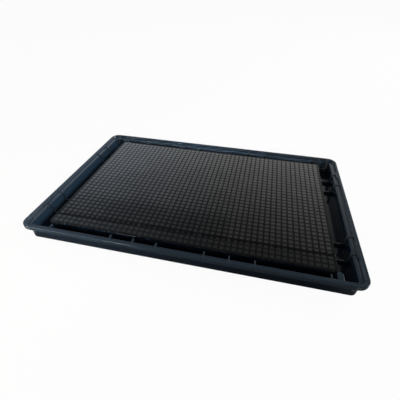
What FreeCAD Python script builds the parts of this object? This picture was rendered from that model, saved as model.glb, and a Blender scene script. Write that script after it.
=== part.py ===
import FreeCAD, Part
import os

# A microplate with 1536 square wells: one black moulded body and a clear film that closes the
# bottoms of its wells. It lies turned over. The deck with the well mouths is down at z = 0, and
# the film and the open underside with its flange are up. X runs along the long side, Y along the
# short side, and the origin is under the middle of the plate. All sizes are in millimetres.

# Outer size of the plate and of its flange
plate_length = 127.76
plate_width = 85.48
plate_height = 7.3
flange_height = 1.6
flange_step = 1.98
flange_corner_radius = 4.2

# Section of the rim and the moat, from the outside in
rim_width = 0.95
rim_slope = 0.5
ledge_depth = 0.9
end_ledge_width = 1.8
side_ledge_width = 1.2
moat_corner_radius = 0.9
moat_draft = 0.3
deck_thickness = 1.15

# Rounding of the moulded edges
rim_outer_round = 0.25
rim_inner_round = 0.15
ledge_round = 0.2
flange_under_round = 0.15
deck_edge_round = 0.4
block_round = 0.1
lug_round = 0.3

# Well block and its wells
well_pitch = 2.25
well_mouth = 1.8
well_base = 1.66
block_end_wall = 0.8
block_side_wall = 0.65
block_corner_radius = 0.7
least_end_moat = 5.0
least_side_moat = 3.0

# Film on the well block
film_thickness = 0.2
film_recess = 1.1

# Thin ribs of the underside, on the 9 mm grid of the plate
rib_pitch = 9.0
rib_thickness = 0.5
end_rib_steps = (2, 3)
end_rib_height = 1.25
end_strip_depth = 0.6
end_bar_height = 0.4
side_rib_steps = (1, 2, 3)
side_rib_depth = 1.6
side_bar_height = 0.15
corner_rib_inset = 8.55

# Pads on the inner side of the rim, near each end of its short and its long sides
pad_depth = 0.4
pad_drop = 0.3
pad_inner_ramp = 3.2
pad_outer_ramp = 1.5
end_pad_start = 22.0
end_pad_length = 8.3
side_pad_start = 48.2
side_pad_length = 8.6

# Round-ended lug in the front right corner of the moat
lug_width = 2.15
lug_reach = 3.5
lug_inset = 5.5

# Heights and half sizes that follow from the above
flange_base = plate_height - flange_height
ledge_z = plate_height - ledge_depth
film_top = plate_height - film_recess
block_top = film_top - film_thickness
rim_foot_inset = rim_width + rim_slope
end_inset = rim_foot_inset + end_ledge_width
side_inset = rim_foot_inset + side_ledge_width
moat_end_x = plate_length / 2 - end_inset
moat_side_y = plate_width / 2 - side_inset
end_wall_middle = (moat_end_x + plate_length / 2 - flange_step) / 2
side_wall_middle = (moat_side_y + plate_width / 2 - flange_step) / 2

# As many wells as the moats leave room for
room_length = 2 * (moat_end_x - least_end_moat - block_end_wall)
room_width = 2 * (moat_side_y - least_side_moat - block_side_wall)
well_columns = int(room_length / well_pitch)
well_rows = int(room_width / well_pitch)
well_field_length = well_columns * well_pitch
well_field_width = well_rows * well_pitch
block_length = well_field_length + 2 * block_end_wall
block_width = well_field_width + 2 * block_side_wall
well_xs = [(i - (well_columns - 1) / 2) * well_pitch for i in range(well_columns)]
well_ys = [(j - (well_rows - 1) / 2) * well_pitch for j in range(well_rows)]

# How far from a height an edge may lie and still count as being at it
level_tolerance = 0.0001


def point(x, y, z):
    return FreeCAD.Vector(x, y, z)


def rounded_outline(length, width, radius, z):
    """A closed rectangle with round corners, centred on the Z axis at height z."""
    corners = ((1, 1, 0), (-1, 1, 90), (-1, -1, 180), (1, -1, 270))
    arcs = []
    for side_x, side_y, start in corners:
        centre = point(side_x * (length / 2 - radius), side_y * (width / 2 - radius), z)
        arcs.append(Part.makeCircle(radius, centre, point(0, 0, 1), start, start + 90))
    edges = []
    for index, arc in enumerate(arcs):
        following = arcs[(index + 1) % len(arcs)]
        edges.append(arc)
        edges.append(Part.makeLine(arc.lastVertex().Point, following.firstVertex().Point))
    return Part.Wire(edges)


def rim_outline(inset, z):
    """The plate's own outline moved inwards, its corners still concentric."""
    length = plate_length - 2 * inset
    width = plate_width - 2 * inset
    return rounded_outline(length, width, flange_corner_radius - inset, z)


def prism(wire, height):
    """A solid of a flat closed wire, raised by a height."""
    return Part.Face(wire).extrude(point(0, 0, height))


def box(x0, x1, y0, y1, z0, z1):
    """A box between two corners, given in either order along X and Y."""
    corner = point(min(x0, x1), min(y0, y1), z0)
    return Part.makeBox(abs(x1 - x0), abs(y1 - y0), z1 - z0, corner)


def flat_face(points):
    """A flat face with straight edges."""
    return Part.Face(Part.makePolygon(points + points[:1]))


def edges_at(solid, z, reach):
    """The level edges at height z that lie within a distance of the middle along X."""
    found = []
    for edge in solid.Edges:
        bounds = edge.BoundBox
        level = abs(bounds.ZMin - z) < level_tolerance and abs(bounds.ZMax - z) < level_tolerance
        if level and bounds.XMax < reach and bounds.XMin > -reach:
            found.append(edge)
    return found


def make_flange():
    """The outer flange as a full plate, its outer edges rounded."""
    flange = prism(rim_outline(0, flange_base), flange_height)
    flange = flange.makeFillet(rim_outer_round, edges_at(flange, plate_height, plate_length))
    return flange.makeFillet(flange_under_round, edges_at(flange, flange_base, plate_length))


def make_skirt():
    """The skirt and deck as a full plate, its deck edge rounded."""
    skirt = prism(rim_outline(flange_step, 0), ledge_z)
    return skirt.makeFillet(deck_edge_round, edges_at(skirt, 0, plate_length))


def make_block():
    """The well block before its wells, with its upper edge rounded."""
    outline = rounded_outline(block_length, block_width, block_corner_radius, deck_thickness / 2)
    block = prism(outline, block_top - deck_thickness / 2)
    return block.makeFillet(block_round, edges_at(block, block_top, plate_length))


def make_shell():
    """Flange, skirt and deck, hollowed from above to the rim, the ledge and the moat."""
    shell = make_flange().fuse(make_skirt())
    rim_foot = rim_outline(rim_foot_inset, ledge_z)
    rim_top = rim_outline(rim_width, plate_height)
    shell = shell.cut(Part.makeLoft([rim_foot, rim_top], True, True))
    radius = moat_corner_radius
    top = rounded_outline(2 * moat_end_x, 2 * moat_side_y, radius, ledge_z)
    floor_length = 2 * (moat_end_x - moat_draft)
    floor_width = 2 * (moat_side_y - moat_draft)
    floor = rounded_outline(floor_length, floor_width, radius, deck_thickness)
    shell = shell.cut(Part.makeLoft([floor, top], True, True))
    rim_reach = plate_length / 2 - rim_width / 2
    shell = shell.makeFillet(rim_inner_round, edges_at(shell, plate_height, rim_reach))
    ledge_reach = moat_end_x + end_ledge_width / 2
    return shell.makeFillet(ledge_round, edges_at(shell, ledge_z, ledge_reach))


def end_rib(side, y):
    """A rib across the end moat: along the floor, up the skirt and over the ledge."""
    y0 = y - rib_thickness / 2
    y1 = y + rib_thickness / 2
    block_x = side * (block_length / 2 - block_end_wall / 2)
    wall_x = side * end_wall_middle
    strip_x = side * (moat_end_x - end_strip_depth)
    rim_x = side * (plate_length / 2 - rim_width / 2)
    floor_z = deck_thickness / 2
    bar_top = ledge_z + end_bar_height
    floor_rib = box(block_x, wall_x, y0, y1, floor_z, deck_thickness + end_rib_height)
    strip = box(strip_x, wall_x, y0, y1, floor_z, bar_top)
    bar = box(wall_x, rim_x, y0, y1, ledge_z - end_bar_height, bar_top)
    return floor_rib.fuse([strip, bar])


def side_rib(x, side):
    """A fin on the inner side of the long skirt wall, which also crosses the ledge."""
    x0 = x - rib_thickness / 2
    x1 = x + rib_thickness / 2
    inner_y = side * (moat_side_y - side_rib_depth)
    wall_y = side * side_wall_middle
    rim_y = side * (plate_width / 2 - rim_width / 2)
    bar_top = ledge_z + side_bar_height
    fin = box(x0, x1, inner_y, wall_y, deck_thickness / 2, bar_top)
    bar = box(x0, x1, wall_y, rim_y, ledge_z - side_bar_height, bar_top)
    return fin.fuse(bar)


def pad_outline(half_size, start, length):
    """Corners of a pad as pairs: the distance across from the middle, and along the rim."""
    root = half_size - rim_width
    face = half_size - rim_foot_inset - pad_depth
    end = start + length
    return [(root, start), (face, start + pad_inner_ramp), (face, end - pad_outer_ramp), (root, end)]


def rim_pads(side_x, side_y):
    """The two pads on the inner side of the rim next to one corner of the plate."""
    base_z = ledge_z - pad_drop
    rise = point(0, 0, plate_height - pad_drop - base_z)
    end_pairs = pad_outline(plate_length / 2, end_pad_start, end_pad_length)
    side_pairs = pad_outline(plate_width / 2, side_pad_start, side_pad_length)
    end_corners = [point(side_x * across, side_y * along, base_z) for across, along in end_pairs]
    side_corners = [point(side_x * along, side_y * across, base_z) for across, along in side_pairs]
    return [flat_face(end_corners).extrude(rise), flat_face(side_corners).extrude(rise)]


def corner_lug():
    """The upright lug with a half-round end, joined to the front skirt wall."""
    radius = lug_width / 2
    x = moat_end_x - lug_inset
    y = -(moat_side_y - lug_reach + radius)
    z = deck_thickness / 2
    post = Part.makeCylinder(radius, ledge_z - z, point(x, y, z))
    web = box(x - radius, x + radius, y, -side_wall_middle, z, ledge_z)
    lug = post.fuse(web).removeSplitter()
    round_edges = [edge for edge in edges_at(lug, ledge_z, plate_length) if edge.BoundBox.YMax > y]
    return lug.makeFillet(lug_round, round_edges)


def make_ribs():
    """All the ribs, pads and the lug of the underside."""
    pieces = [corner_lug()]
    corner_rib_x = moat_end_x - corner_rib_inset
    for side in (-1, 1):
        for end in (-1, 1):
            pieces.append(side_rib(end * corner_rib_x, side))
            pieces += [side_rib(end * step * rib_pitch, side) for step in side_rib_steps]
            pieces += [end_rib(side, end * step * rib_pitch) for step in end_rib_steps]
            pieces += rim_pads(side, end)
    return pieces


def square(x, y, half, z):
    """The corners of a level square, turning clockwise seen from above."""
    return [
        point(x - half, y - half, z),
        point(x - half, y + half, z),
        point(x + half, y + half, z),
        point(x + half, y - half, z),
    ]


def well_walls(x, y):
    """The four walls of one well, narrower at the film than at the mouth."""
    mouth = square(x, y, well_mouth / 2, 0)
    base = square(x, y, well_base / 2, block_top)
    walls = []
    for index in range(len(mouth)):
        following = (index + 1) % len(mouth)
        walls.append(flat_face([mouth[index], mouth[following], base[following], base[index]]))
    return walls


def row_plate(y, well_size, z):
    """The level strip of one row, with the openings of its wells."""
    x0 = -well_field_length / 2
    x1 = well_field_length / 2
    y0 = y - well_pitch / 2
    y1 = y + well_pitch / 2
    outer = [point(x0, y0, z), point(x1, y0, z), point(x1, y1, z), point(x0, y1, z)]
    wires = [Part.makePolygon(outer + outer[:1])]
    for x in well_xs:
        opening = square(x, y, well_size / 2, z)
        wires.append(Part.makePolygon(opening + opening[:1]))
    return Part.Face(wires)


def field_side(start, end):
    """An upright outer face of the well field over a line on the deck."""
    rise = point(0, 0, block_top)
    return flat_face([start, end, end + rise, start + rise])


def row_faces(y):
    """The faces of one row of wells: mouths, bases, the walls of the wells and both ends."""
    faces = [row_plate(y, well_mouth, 0), row_plate(y, well_base, block_top)]
    for x in well_xs:
        faces += well_walls(x, y)
    for side in (-1, 1):
        x = side * well_field_length / 2
        faces.append(field_side(point(x, y - well_pitch / 2, 0), point(x, y + well_pitch / 2, 0)))
    return faces


def make_well_field():
    """The field of wells as one solid, sewn from the faces of its rows."""
    faces = []
    for y in well_ys:
        faces += row_faces(y)
    x = well_field_length / 2
    for side in (-1, 1):
        y = side * well_field_width / 2
        faces.append(field_side(point(-x, y, 0), point(x, y, 0)))
    skin = Part.makeCompound(faces)
    skin.sewShape()
    return Part.makeSolid(skin.Shells[0])


def plate_body():
    """The moulded body: shell, well block, ribs and wells in one solid."""
    body = make_shell().fuse([make_block()] + make_ribs())
    half_x = well_field_length / 2
    half_y = well_field_width / 2
    body = body.cut(box(-half_x, half_x, -half_y, half_y, 0, block_top))
    return body.fuse(make_well_field())


def bottom_film():
    """The clear film that closes the wells, bonded to the top of the well block."""
    outline = rounded_outline(block_length, block_width, block_corner_radius, block_top)
    return prism(outline, film_thickness)


os.makedirs("parts", exist_ok=True)
plate_body().exportStep("parts/plate_body.step")
bottom_film().exportStep("parts/bottom_film.step")
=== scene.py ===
import math

import bpy
from mathutils import Matrix, Vector


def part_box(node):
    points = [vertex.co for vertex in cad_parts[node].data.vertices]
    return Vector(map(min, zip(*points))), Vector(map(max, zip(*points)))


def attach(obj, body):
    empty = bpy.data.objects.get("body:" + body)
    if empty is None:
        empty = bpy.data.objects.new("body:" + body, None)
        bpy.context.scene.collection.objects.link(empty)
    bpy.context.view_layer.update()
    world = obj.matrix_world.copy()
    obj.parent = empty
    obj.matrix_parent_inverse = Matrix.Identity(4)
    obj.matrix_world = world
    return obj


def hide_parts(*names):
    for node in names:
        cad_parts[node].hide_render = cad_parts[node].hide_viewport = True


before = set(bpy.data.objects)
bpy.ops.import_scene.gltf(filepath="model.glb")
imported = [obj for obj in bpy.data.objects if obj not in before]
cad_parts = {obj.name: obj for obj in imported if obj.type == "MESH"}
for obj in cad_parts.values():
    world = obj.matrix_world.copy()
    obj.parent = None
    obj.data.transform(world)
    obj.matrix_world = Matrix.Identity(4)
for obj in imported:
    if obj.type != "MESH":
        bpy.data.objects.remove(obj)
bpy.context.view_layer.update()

MM = 0.001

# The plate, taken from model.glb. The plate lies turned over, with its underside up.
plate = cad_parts["plate_body"]
plate_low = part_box("plate_body")[0]
film_low, film_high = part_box("bottom_film")

# Heights on the plate in mm, above the face that it lies on.
floor_top = 1.15
rib_top = 2.4
wall_top = film_low.z / MM
ledge_height = 6.4

# The wells' spacing in mm, and the half sizes in mm of the grid of 48 by 32 wells.
well_pitch = 2.25
grid_half = (24 * well_pitch, 16 * well_pitch)

# Half sizes in mm: the moat inside its walls, the middle of the skirt, and the rim inside its foot.
moat_inside = (59.2, 40.0)
skirt_middle = (61.2, 40.5)
rim_inside = (62.6, 41.5)

# Places in mm, out from the middle: the end walls' faces at the ledge, a place just behind them, the
# painted highlight line on the end ledges and where it ends, two places with the back wall's face
# between them, and where the back wall's painted light ends.
end_wall_at = 60.63
end_wall_behind = 60.9
end_line_at = 61.6
end_line_reach = 37.0
back_wall_between = (39.6, 40.3)
back_wall_reach = 57.0

# The plastic's edges are softened by this radius in its finish.
edge_round = 0.15 * MM

# The plastic's colours: its two tones as moulded, painted shade towards the front right, painted shade in
# deep places, painted light on the back wall, rubbed grey that also paints highlights, and where the film
# is bonded to it.
navy_darker = (0.022, 0.044, 0.073, 1.0)
navy_lighter = (0.027, 0.052, 0.085, 1.0)
navy_painted_shade_right = (0.017, 0.031, 0.048, 1.0)
navy_painted_deep_shade = (0.001, 0.005, 0.014, 1.0)
navy_painted_light = (0.10, 0.15, 0.21, 1.0)
rubbed_and_highlight_grey = (0.20, 0.22, 0.24, 1.0)
bonded_black = (0.0030, 0.0045, 0.0065, 1.0)

# The film's base colour, partly the black plastic of the wells and partly painted shade inside them, and
# the colours of the surroundings.
well_black_and_shade = (0.0030, 0.0036, 0.0044, 1.0)
pure_white = (1.0, 1.0, 1.0, 1.0)
paper_white = (0.95, 0.95, 0.95, 1.0)
paper_in_reflections = (0.28, 0.30, 0.33, 1.0)
room_light = (1.0, 1.0, 0.98, 1.0)
room_light_left = (0.90, 1.0, 1.12, 1.0)

# The film sinks a little into the wall tops that it is bonded to, and stays just inside their outline.
film_bond = 0.02 * MM
film_edge_gap = 0.03 * MM
film_corner_radius = 0.7 * MM
film_corner_steps = 6
film_edge_round = 0.03 * MM
film_edge_steps = 2
film_flat_border = 0.1 * MM

# The film's crease runs over the third row of wells from the front: its y in mm at the middle, and
# its rise along x. Left of sag_end, in mm, the film behind the crease sags a little.
crease_middle = -30.2
crease_rise = 0.02
sag_end = 15.6

# The camera: its place in m, its turn to the left, its tilt down and its roll in radians.
image_side = 400
camera_place = Vector((0.0203767, -0.1051723, 0.0802222))
camera_turn = 0.221882
camera_tilt = 0.723159
camera_roll = 0.0123475
focal_length_px = 278.25
image_centre_px = Vector((194.634, 221.829))
sensor_width = 36.0

# The room's brightness at heights in degrees above the horizon.
room_glow = (
    (0, 0.95), (14, 0.85), (22, 0.74), (28, 0.68), (32, 0.54),
    (36, 0.42), (41, 0.27), (46, 0.19), (60, 0.04), (90, 0.02),
)

# The lamps' light, and the places that they face, in m.
plain_light = (1.0, 1.0, 1.0)
warm_light = (1.0, 0.86, 0.72)
plate_middle = Vector((0.0, 0.0, 0.0))
back_rim = Vector((0.0, 0.042, 0.005))


class Shading:
    """The nodes of one material or of the world, each made and joined by one call."""

    def __init__(self, owner):
        owner.use_nodes = True
        self.tree = owner.node_tree
        self.tree.nodes.clear()

    def feed(self, socket, value):
        """Joins another node's output to a socket, or sets the socket to a value."""
        if isinstance(value, bpy.types.NodeSocket):
            self.tree.links.new(value, socket)
        else:
            socket.default_value = value

    def node(self, kind, inputs=(), **settings):
        """Adds a node with its settings, and feeds its inputs, given by name or by number."""
        made = self.tree.nodes.new(kind)
        for name, value in settings.items():
            setattr(made, name, value)
        for key, value in dict(inputs).items():
            self.feed(made.inputs[key], value)
        return made

    def maths(self, operation, *values):
        """The result of a maths node on one, two or three values."""
        return self.node("ShaderNodeMath", dict(enumerate(values)), operation=operation).outputs[0]

    def vector(self, operation, *values):
        """The result of a vector maths node on one or two vectors."""
        return self.node("ShaderNodeVectorMath", dict(enumerate(values)), operation=operation).outputs[0]

    def product(self, first, *others):
        """All the values multiplied, so that masks are joined where they overlap."""
        total = first
        for value in others:
            total = self.maths("MULTIPLY", total, value)
        return total

    def greatest(self, first, *others):
        """The greatest of the values at each point."""
        top = first
        for value in others:
            top = self.maths("MAXIMUM", top, value)
        return top

    def steps(self, value, *stops):
        """Follows straight lines through (value, result) stops, and stays level past both ends."""
        curve = self.node("ShaderNodeFloatCurve", {"Value": value})
        line = curve.mapping.curves[0]
        for point, (at, result) in zip(line.points, (stops[0], stops[-1])):
            point.location = (at, result)
        for at, result in stops[1:-1]:
            line.points.new(at, result)
        for point in line.points:
            point.handle_type = "VECTOR"
        curve.mapping.extend = "HORIZONTAL"
        curve.mapping.update()
        return curve.outputs["Value"]

    def fade(self, value, start, end, low=0.0, high=1.0):
        """Goes smoothly from low to high as the value goes from start to end."""
        inputs = {"Value": value, "From Min": start, "From Max": end, "To Min": low, "To Max": high}
        return self.node("ShaderNodeMapRange", inputs, interpolation_type="SMOOTHSTEP").outputs["Result"]

    def blend(self, share, first, second):
        """A colour between two colours."""
        mix = self.node("ShaderNodeMix", data_type="RGBA")
        self.feed(mix.inputs["Factor"], share)
        self.feed(mix.inputs[6], first)
        self.feed(mix.inputs[7], second)
        return mix.outputs[2]

    def noise(self, place, scale, detail=2.0, roughness=0.5):
        """Soft noise between 0 and 1, with its grain given as a number of waves per mm."""
        inputs = {"Vector": place, "Scale": scale, "Detail": detail, "Roughness": roughness}
        return self.node("ShaderNodeTexNoise", inputs)

    def place_in_mm(self):
        """The point on the piece in mm, from its Object coordinates."""
        place = self.node("ShaderNodeTexCoord").outputs["Object"]
        return self.vector("MULTIPLY", place, (1 / MM, 1 / MM, 1 / MM))

    def split(self, place):
        """The three coordinates of a point."""
        return self.node("ShaderNodeSeparateXYZ", {"Vector": place}).outputs

    def between(self, value, low, high):
        """1 where the value lies between two limits, else 0."""
        above = self.maths("GREATER_THAN", value, low)
        below = self.maths("LESS_THAN", value, high)
        return self.maths("MULTIPLY", above, below)

    def within(self, x, y, half_x, half_y):
        """1 where a point lies inside a rectangle about the middle, given by its half sizes, else 0."""
        inside_x = self.maths("LESS_THAN", self.maths("ABSOLUTE", x), half_x)
        inside_y = self.maths("LESS_THAN", self.maths("ABSOLUTE", y), half_y)
        return self.maths("MULTIPLY", inside_x, inside_y)

    def beyond(self, x, y, half_x, half_y):
        """1 where a point lies outside such a rectangle, else 0."""
        return self.maths("SUBTRACT", 1.0, self.within(x, y, half_x, half_y))

    def off_well(self, along):
        """How far a coordinate lies from the middle of its well, in mm."""
        in_cell = self.maths("FLOORED_MODULO", along, well_pitch)
        return self.maths("ABSOLUTE", self.maths("SUBTRACT", in_cell, well_pitch / 2))


def moat_space(shade, x, y, z):
    """1 inside the moat's walls and below the ledge, where the well block stands too, else 0."""
    below_ledge = shade.maths("LESS_THAN", z, ledge_height - 0.1)
    return shade.product(shade.within(x, y, *moat_inside), below_ledge)


def plastic_colour(shade, x, y, z, flow):
    """The plastic's navy, with painted shade towards the front right and low down, and painted light on
    the back wall.
    """
    from_middle = shade.maths("ABSOLUTE", x)
    fresh = shade.blend(flow, navy_darker, navy_lighter)
    # Painted shade: the navy is darkened towards the front right.
    towards_right = shade.maths("MULTIPLY_ADD", y, -0.4, x)
    painted_shade_right = shade.blend(shade.fade(towards_right, -50.0, 10.0), fresh, navy_painted_shade_right)

    # Painted shade: the skirt's outer wall darkens low down, the moat darkens below the ledge, most along
    # the long sides, and the right end wall darkens, all towards near-black navy.
    low_on_skirt = shade.product(shade.beyond(x, y, *skirt_middle), shade.fade(z, 5.8, 3.5, 0.0, 0.7))
    along_moat = shade.fade(from_middle, 57.8, 48.0, 0.1, 0.75)
    low_in_moat = shade.product(moat_space(shade, x, y, z), along_moat)
    right_wall = shade.product(
        shade.between(x, moat_inside[0], end_wall_behind),
        shade.maths("LESS_THAN", z, ledge_height - 0.3),
    )
    shaded = shade.greatest(low_on_skirt, low_in_moat, shade.product(right_wall, 0.4))
    deep = shade.blend(shaded, painted_shade_right, navy_painted_deep_shade)

    # Painted light: the back wall's face is lightened towards a pale navy.
    back_wall = shade.product(
        shade.between(y, *back_wall_between),
        shade.maths("LESS_THAN", z, ledge_height - 0.1),
        shade.maths("LESS_THAN", from_middle, back_wall_reach),
    )
    return shade.blend(shade.product(back_wall, 0.4), deep, navy_painted_light)


def plastic_wear_and_highlights(shade, x, y, z, flow, rounded, flat):
    """How far the plastic is lightened: rubbed edges that also paint edge highlights, painted highlights
    on the rib tops and on a line along each end ledge, and painted light on the end strips' sides.
    """
    from_middle = shade.maths("ABSOLUTE", x)
    in_moat = moat_space(shade, x, y, z)

    # Painted light: the end strips' sides that face along y are lightened where their shade would fall.
    strips = shade.product(
        shade.between(from_middle, moat_inside[0], end_wall_at - 0.05),
        shade.maths("GREATER_THAN", z, rib_top + 0.1),
    )
    facing_along_y = shade.maths("ABSOLUTE", shade.split(flat)[1])
    on_strips = shade.product(strips, shade.fade(facing_along_y, 0.5, 0.8, 0.0, 0.33))

    # Painted highlight: a thin light line along each end ledge, stronger on the left end.
    off_line = shade.maths("ABSOLUTE", shade.maths("SUBTRACT", from_middle, end_line_at))
    line = shade.product(
        shade.fade(off_line, 0.26, 0.10),
        shade.between(z, ledge_height - 0.2, ledge_height + 0.05),
        shade.maths("LESS_THAN", shade.maths("ABSOLUTE", y), end_line_reach),
    )
    on_line = shade.product(line, shade.fade(x, 0.0, 50.0, 0.5, 0.2))

    # Rubbed edges, partly a painted highlight: the edges inside the rim and outside the moat are
    # lightened, unevenly along them.
    match = shade.node("ShaderNodeVectorMath", {0: rounded, 1: flat}, operation="DOT_PRODUCT")
    edge = shade.fade(match.outputs["Value"], 0.99, 0.93)
    spared = shade.greatest(shade.beyond(x, y, *rim_inside), in_moat)
    open_edge = shade.product(edge, shade.maths("SUBTRACT", 1.0, spared))
    on_edges = shade.product(open_edge, shade.fade(flow, 0.3, 0.6, 0.15, 0.4))

    # Painted highlight: the rib tops in the moat are lightened.
    rib_tops = shade.product(in_moat, shade.between(z, rib_top - 0.06, rib_top + 0.06))
    return shade.greatest(on_strips, on_line, on_edges, shade.product(rib_tops, 0.9))


def moulded_black_plastic():
    """Near-black navy plastic: polished in the moat, satin on the ledge and rim, dull under the film."""
    material = bpy.data.materials.new("moulded_black_plastic")
    shade = Shading(material)
    place = shade.place_in_mm()
    x, y, z = shade.split(place)

    flow = shade.noise(place, 0.09, 3.0).outputs["Fac"]
    smear = shade.noise(shade.vector("MULTIPLY", place, (0.25, 1.3, 1.0)), 0.5, 4.0).outputs["Fac"]
    grain = shade.noise(place, 9.0, 2.0).outputs["Fac"]
    rounded = shade.node("ShaderNodeBevel", {"Radius": edge_round}, samples=6).outputs["Normal"]
    flat = shade.node("ShaderNodeNewGeometry").outputs["Normal"]

    satin = shade.fade(z, floor_top + 0.6, ledge_height - 0.2, 0.05, 0.15)
    uneven = shade.maths("MULTIPLY_ADD", smear, 0.02, -0.01)
    unworn = plastic_colour(shade, x, y, z, flow)
    rubbed_and_highlit = plastic_wear_and_highlights(shade, x, y, z, flow, rounded, flat)
    relief = shade.maths("MULTIPLY_ADD", flow, 0.030, shade.maths("MULTIPLY", grain, 0.0004))
    bump = shade.node("ShaderNodeBump", {"Height": relief, "Distance": MM, "Normal": rounded})

    surface = shade.node("ShaderNodeBsdfPrincipled", {
        "Base Color": shade.blend(rubbed_and_highlit, unworn, rubbed_and_highlight_grey),
        "Roughness": shade.maths("ADD", satin, uneven),
        "Normal": bump.outputs["Normal"],
        "IOR": 1.40,
    })
    wetted = shade.node("ShaderNodeBsdfPrincipled", {
        "Base Color": bonded_black,
        "Roughness": 0.9,
        "Specular IOR Level": 0.0,
    })
    under_film = shade.product(
        shade.within(x, y, film_high.x / MM + 0.05, film_high.y / MM + 0.05),
        shade.maths("GREATER_THAN", z, wall_top - 0.01),
    )
    both = shade.node("ShaderNodeMixShader", {0: under_film, 1: surface.outputs[0], 2: wetted.outputs[0]})
    shade.node("ShaderNodeOutputMaterial", {"Surface": both.outputs[0]})
    return material


def clear_film_plastic():
    """Glossy film over black wells, drawn unevenly over each, with a crease and a slight sag behind it."""
    material = bpy.data.materials.new("clear_film_plastic")
    shade = Shading(material)
    place = shade.place_in_mm()
    x, y = shade.split(place)[:2]

    cell = shade.vector("FLOOR", shade.vector("DIVIDE", place, (well_pitch,) * 3))
    draw = shade.node("ShaderNodeTexWhiteNoise", {"Vector": cell}, noise_dimensions="3D").outputs["Color"]
    wave = shade.noise(place, 0.07, 2.0).outputs["Color"]
    half = (0.5, 0.5, 0.5)
    cell_tilt = shade.vector("MULTIPLY", shade.vector("SUBTRACT", draw, half), (0.012, 0.012, 0.0))
    wave_tilt = shade.vector("MULTIPLY", shade.vector("SUBTRACT", wave, half), (0.03, 0.03, 0.0))

    crease_y = shade.maths("MULTIPLY_ADD", x, crease_rise, crease_middle)
    past_crease = shade.maths("SUBTRACT", y, crease_y)
    off_crease = shade.maths("ABSOLUTE", past_crease)
    ripple = shade.noise(place, 0.45, 1.0).outputs["Fac"]
    crease = shade.product(
        shade.fade(off_crease, 1.3, 0.5),
        shade.fade(ripple, 0.25, 0.55, 0.4, 1.0),
    )
    before_crease = shade.fade(past_crease, -0.3, -1.5)
    sag = shade.product(
        shade.fade(x, sag_end, sag_end - 1.0),
        shade.fade(y, -12.0, -22.0),
        shade.fade(past_crease, -0.5, 0.5),
    )
    lean = shade.maths("MULTIPLY_ADD", crease, -0.07, shade.maths("MULTIPLY", sag, -0.035))
    lean_tilt = shade.node("ShaderNodeCombineXYZ", {"Y": lean}).outputs[0]
    tilt = shade.vector("ADD", shade.vector("ADD", cell_tilt, wave_tilt), lean_tilt)
    level = shade.node("ShaderNodeNewGeometry").outputs["Normal"]
    tilted = shade.vector("NORMALIZE", shade.vector("ADD", level, tilt))

    aside = shade.greatest(shade.off_well(x), shade.off_well(y))
    over_well = shade.product(
        shade.fade(shade.maths("MULTIPLY_ADD", crease, 0.30, aside), 0.83, 0.68),
        shade.maths("MULTIPLY_ADD", before_crease, -0.35, 1.0),
        shade.within(x, y, *grid_half),
    )
    haze = shade.noise(place, 0.35, 3.0).outputs["Fac"]
    dull = shade.fade(haze, 0.3, 0.7, 0.02, 0.07)

    # Painted shade: the film's black base colour stands for the dark wells under it, partly their black
    # plastic.
    surface = shade.node("ShaderNodeBsdfPrincipled", {
        "Base Color": well_black_and_shade,
        "Roughness": shade.maths("MULTIPLY_ADD", before_crease, 0.12, dull),
        "Normal": tilted,
        "IOR": 1.33,
        "Coat Weight": over_well,
        "Coat IOR": 1.80,
        "Coat Roughness": 0.03,
        "Coat Normal": tilted,
    })
    shade.node("ShaderNodeOutputMaterial", {"Surface": surface.outputs["BSDF"]})
    return material


def select_edges(mesh, wanted):
    """Selects the edges for which wanted(first end, second end) is true, and no others."""
    points = [vertex.co for vertex in mesh.vertices]
    for part in (*mesh.polygons, *mesh.vertices):
        part.select = False
    for edge in mesh.edges:
        first, second = (points[i] for i in edge.vertices)
        edge.select = wanted(first, second)
        for i in edge.vertices:
            if edge.select:
                mesh.vertices[i].select = True


def make_film(material):
    """The clear film on the wall tops: a thin sheet with round corners and softened edges."""
    low = film_low + Vector((film_edge_gap, film_edge_gap, -film_bond))
    high = film_high - Vector((film_edge_gap, film_edge_gap, 0.0))
    size = high - low
    bpy.ops.object.select_all(action="DESELECT")
    bpy.ops.mesh.primitive_cube_add(size=1.0, location=(low + high) / 2)
    film = bpy.context.object
    film.name = film.data.name = "clear_bottom_film"
    film.scale = size
    bpy.ops.object.transform_apply(location=True, rotation=True, scale=True)

    def upright(first, second):
        return abs(first.z - second.z) > size.z / 2

    def around_the_top(first, second):
        return min(first.z, second.z) > high.z - size.z / 10

    for wanted, offset, segments in (
        (upright, film_corner_radius, film_corner_steps),
        (around_the_top, film_edge_round, film_edge_steps),
    ):
        bpy.ops.object.mode_set(mode="EDIT")
        bpy.ops.mesh.select_mode(type="EDGE")
        bpy.ops.object.mode_set(mode="OBJECT")
        select_edges(film.data, wanted)
        bpy.ops.object.mode_set(mode="EDIT")
        bpy.ops.mesh.bevel(offset=offset, segments=segments, affect="EDGES")
        bpy.ops.object.mode_set(mode="OBJECT")

    bpy.ops.object.mode_set(mode="EDIT")
    bpy.ops.mesh.select_mode(type="FACE")
    bpy.ops.mesh.select_all(action="DESELECT")
    bpy.ops.object.mode_set(mode="OBJECT")
    for face in film.data.polygons:
        face.select = abs(face.normal.z) > 0.99
    bpy.ops.object.mode_set(mode="EDIT")
    bpy.ops.mesh.inset(thickness=film_flat_border)
    bpy.ops.object.mode_set(mode="OBJECT")
    bpy.ops.object.shade_smooth_by_angle(angle=math.radians(35))
    film.data.materials.append(material)
    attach(film, "root")
    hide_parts("bottom_film")


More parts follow.
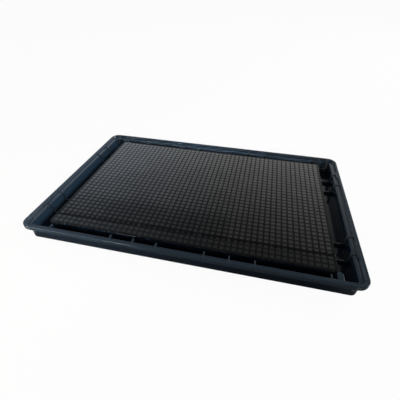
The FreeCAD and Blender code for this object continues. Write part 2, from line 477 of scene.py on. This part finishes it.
def white_floor():
    """A white sheet under the plate, plain white to the camera, with a soft shadow left on it."""
    bpy.ops.object.select_all(action="DESELECT")
    bpy.ops.mesh.primitive_plane_add(size=6.0, location=(0.0, 0.0, plate_low.z - 0.02 * MM))
    floor = bpy.context.object
    floor.name = "floor"
    material = bpy.data.materials.new("white_paper_floor")
    shade = Shading(material)
    rays = shade.node("ShaderNodeLightPath").outputs
    seen = shade.maths("MAXIMUM", rays["Is Camera Ray"], rays["Is Transmission Ray"])
    share = shade.maths("MULTIPLY", seen, 0.96)
    colour = shade.blend(seen, paper_in_reflections, paper_white)
    paper = shade.node("ShaderNodeBsdfDiffuse", {"Color": colour})
    white = shade.node("ShaderNodeEmission", {"Color": pure_white, "Strength": 1.0})
    both = shade.node("ShaderNodeMixShader", {0: share, 1: paper.outputs[0], 2: white.outputs[0]})
    shade.node("ShaderNodeOutputMaterial", {"Surface": both.outputs[0]})
    floor.data.materials.append(material)


def studio_surroundings():
    """A room that is bright near the horizon and dim overhead, a bit brighter on the left."""
    world = bpy.data.worlds.new("studio_surroundings")
    bpy.context.scene.world = world
    shade = Shading(world)
    direction = shade.node("ShaderNodeTexCoord").outputs["Generated"]
    x, y, z = shade.split(direction)
    climb = shade.maths("DIVIDE", shade.maths("ARCSINE", z), math.pi / 2)
    glow = shade.steps(climb, *((degrees / 90, strength) for degrees, strength in room_glow))
    left = shade.fade(x, 0.05, -0.55)
    brighter = shade.maths("MULTIPLY_ADD", left, 0.2, 0.86)
    behind = shade.fade(y, 0.35, -0.1, 1.0, 0.12)
    tint = shade.blend(left, room_light, room_light_left)
    rays = shade.node("ShaderNodeLightPath").outputs
    room = shade.node("ShaderNodeBackground", {
        "Color": tint,
        "Strength": shade.product(glow, brighter, behind),
    })
    white = shade.node("ShaderNodeBackground", {"Color": pure_white, "Strength": 1.0})
    both = shade.node("ShaderNodeMixShader", {
        0: rays["Is Camera Ray"],
        1: room.outputs[0],
        2: white.outputs[0],
    })
    shade.node("ShaderNodeOutputWorld", {"Surface": both.outputs[0]})


def soft_lamp(
    name, bearing, climb, wide, high, brightness,
    distance=0.8, aim=plate_middle, beam=180.0, tint=plain_light,
):
    """A soft lamp that faces a point, with its bearing from +Y to +X and all angles in degrees."""
    lamp = bpy.data.lights.new(name, "AREA")
    lamp.shape = "RECTANGLE"
    lamp.size = 2 * distance * math.tan(math.radians(wide / 2))
    lamp.size_y = 2 * distance * math.tan(math.radians(high / 2))
    lamp.energy = brightness * math.pi * lamp.size * lamp.size_y
    lamp.spread = math.radians(beam)
    lamp.color = tint
    holder = bpy.data.objects.new(name, lamp)
    level = distance * math.cos(math.radians(climb))
    place = Vector((
        level * math.sin(math.radians(bearing)),
        level * math.cos(math.radians(bearing)),
        distance * math.sin(math.radians(climb)),
    ))
    holder.location = place
    holder.visible_camera = False
    holder.rotation_euler = (aim - place).to_track_quat("-Z", "Y").to_euler()
    bpy.context.scene.collection.objects.link(holder)


def photo_camera():
    """The camera at the photograph's place, looking down at the plate from its front."""
    ahead = Vector((
        -math.sin(camera_turn) * math.cos(camera_tilt),
        math.cos(camera_turn) * math.cos(camera_tilt),
        -math.sin(camera_tilt),
    ))
    right = Vector((math.cos(camera_turn), math.sin(camera_turn), 0.0))
    up = right.cross(ahead)
    image_right = math.cos(camera_roll) * right + math.sin(camera_roll) * up
    image_up = math.cos(camera_roll) * up - math.sin(camera_roll) * right
    camera = bpy.data.objects.new("camera", bpy.data.cameras.new("camera"))
    camera.data.sensor_width = sensor_width
    camera.data.lens = focal_length_px / image_side * sensor_width
    camera.data.shift_x = (image_side / 2 - image_centre_px.x) / image_side
    camera.data.shift_y = (image_centre_px.y - image_side / 2) / image_side
    camera.data.clip_start = 0.001
    turn = Matrix((image_right, image_up, -ahead)).transposed().to_4x4()
    camera.matrix_world = Matrix.Translation(camera_place) @ turn
    bpy.context.scene.collection.objects.link(camera)
    bpy.context.scene.camera = camera


plate.data.materials.clear()
plate.data.materials.append(moulded_black_plastic())
make_film(clear_film_plastic())
white_floor()
studio_surroundings()
soft_lamp("window_lamp", bearing=74.0, climb=31.0, wide=40.0, high=18.0, brightness=9.0)
soft_lamp("fill_lamp", bearing=175.0, climb=22.0, wide=40.0, high=16.0, brightness=2.2, tint=warm_light)
soft_lamp(
    "near_lamp", bearing=-132.0, climb=11.0, wide=22.0, high=16.0, brightness=10.0,
    distance=0.16, tint=warm_light,
)
soft_lamp(
    "back_rim_lamp", bearing=-152.0, climb=19.0, wide=12.0, high=6.0, brightness=1.6,
    distance=0.30, aim=back_rim, beam=18.0,
)
photo_camera()
bpy.context.scene.view_settings.view_transform = "Standard"
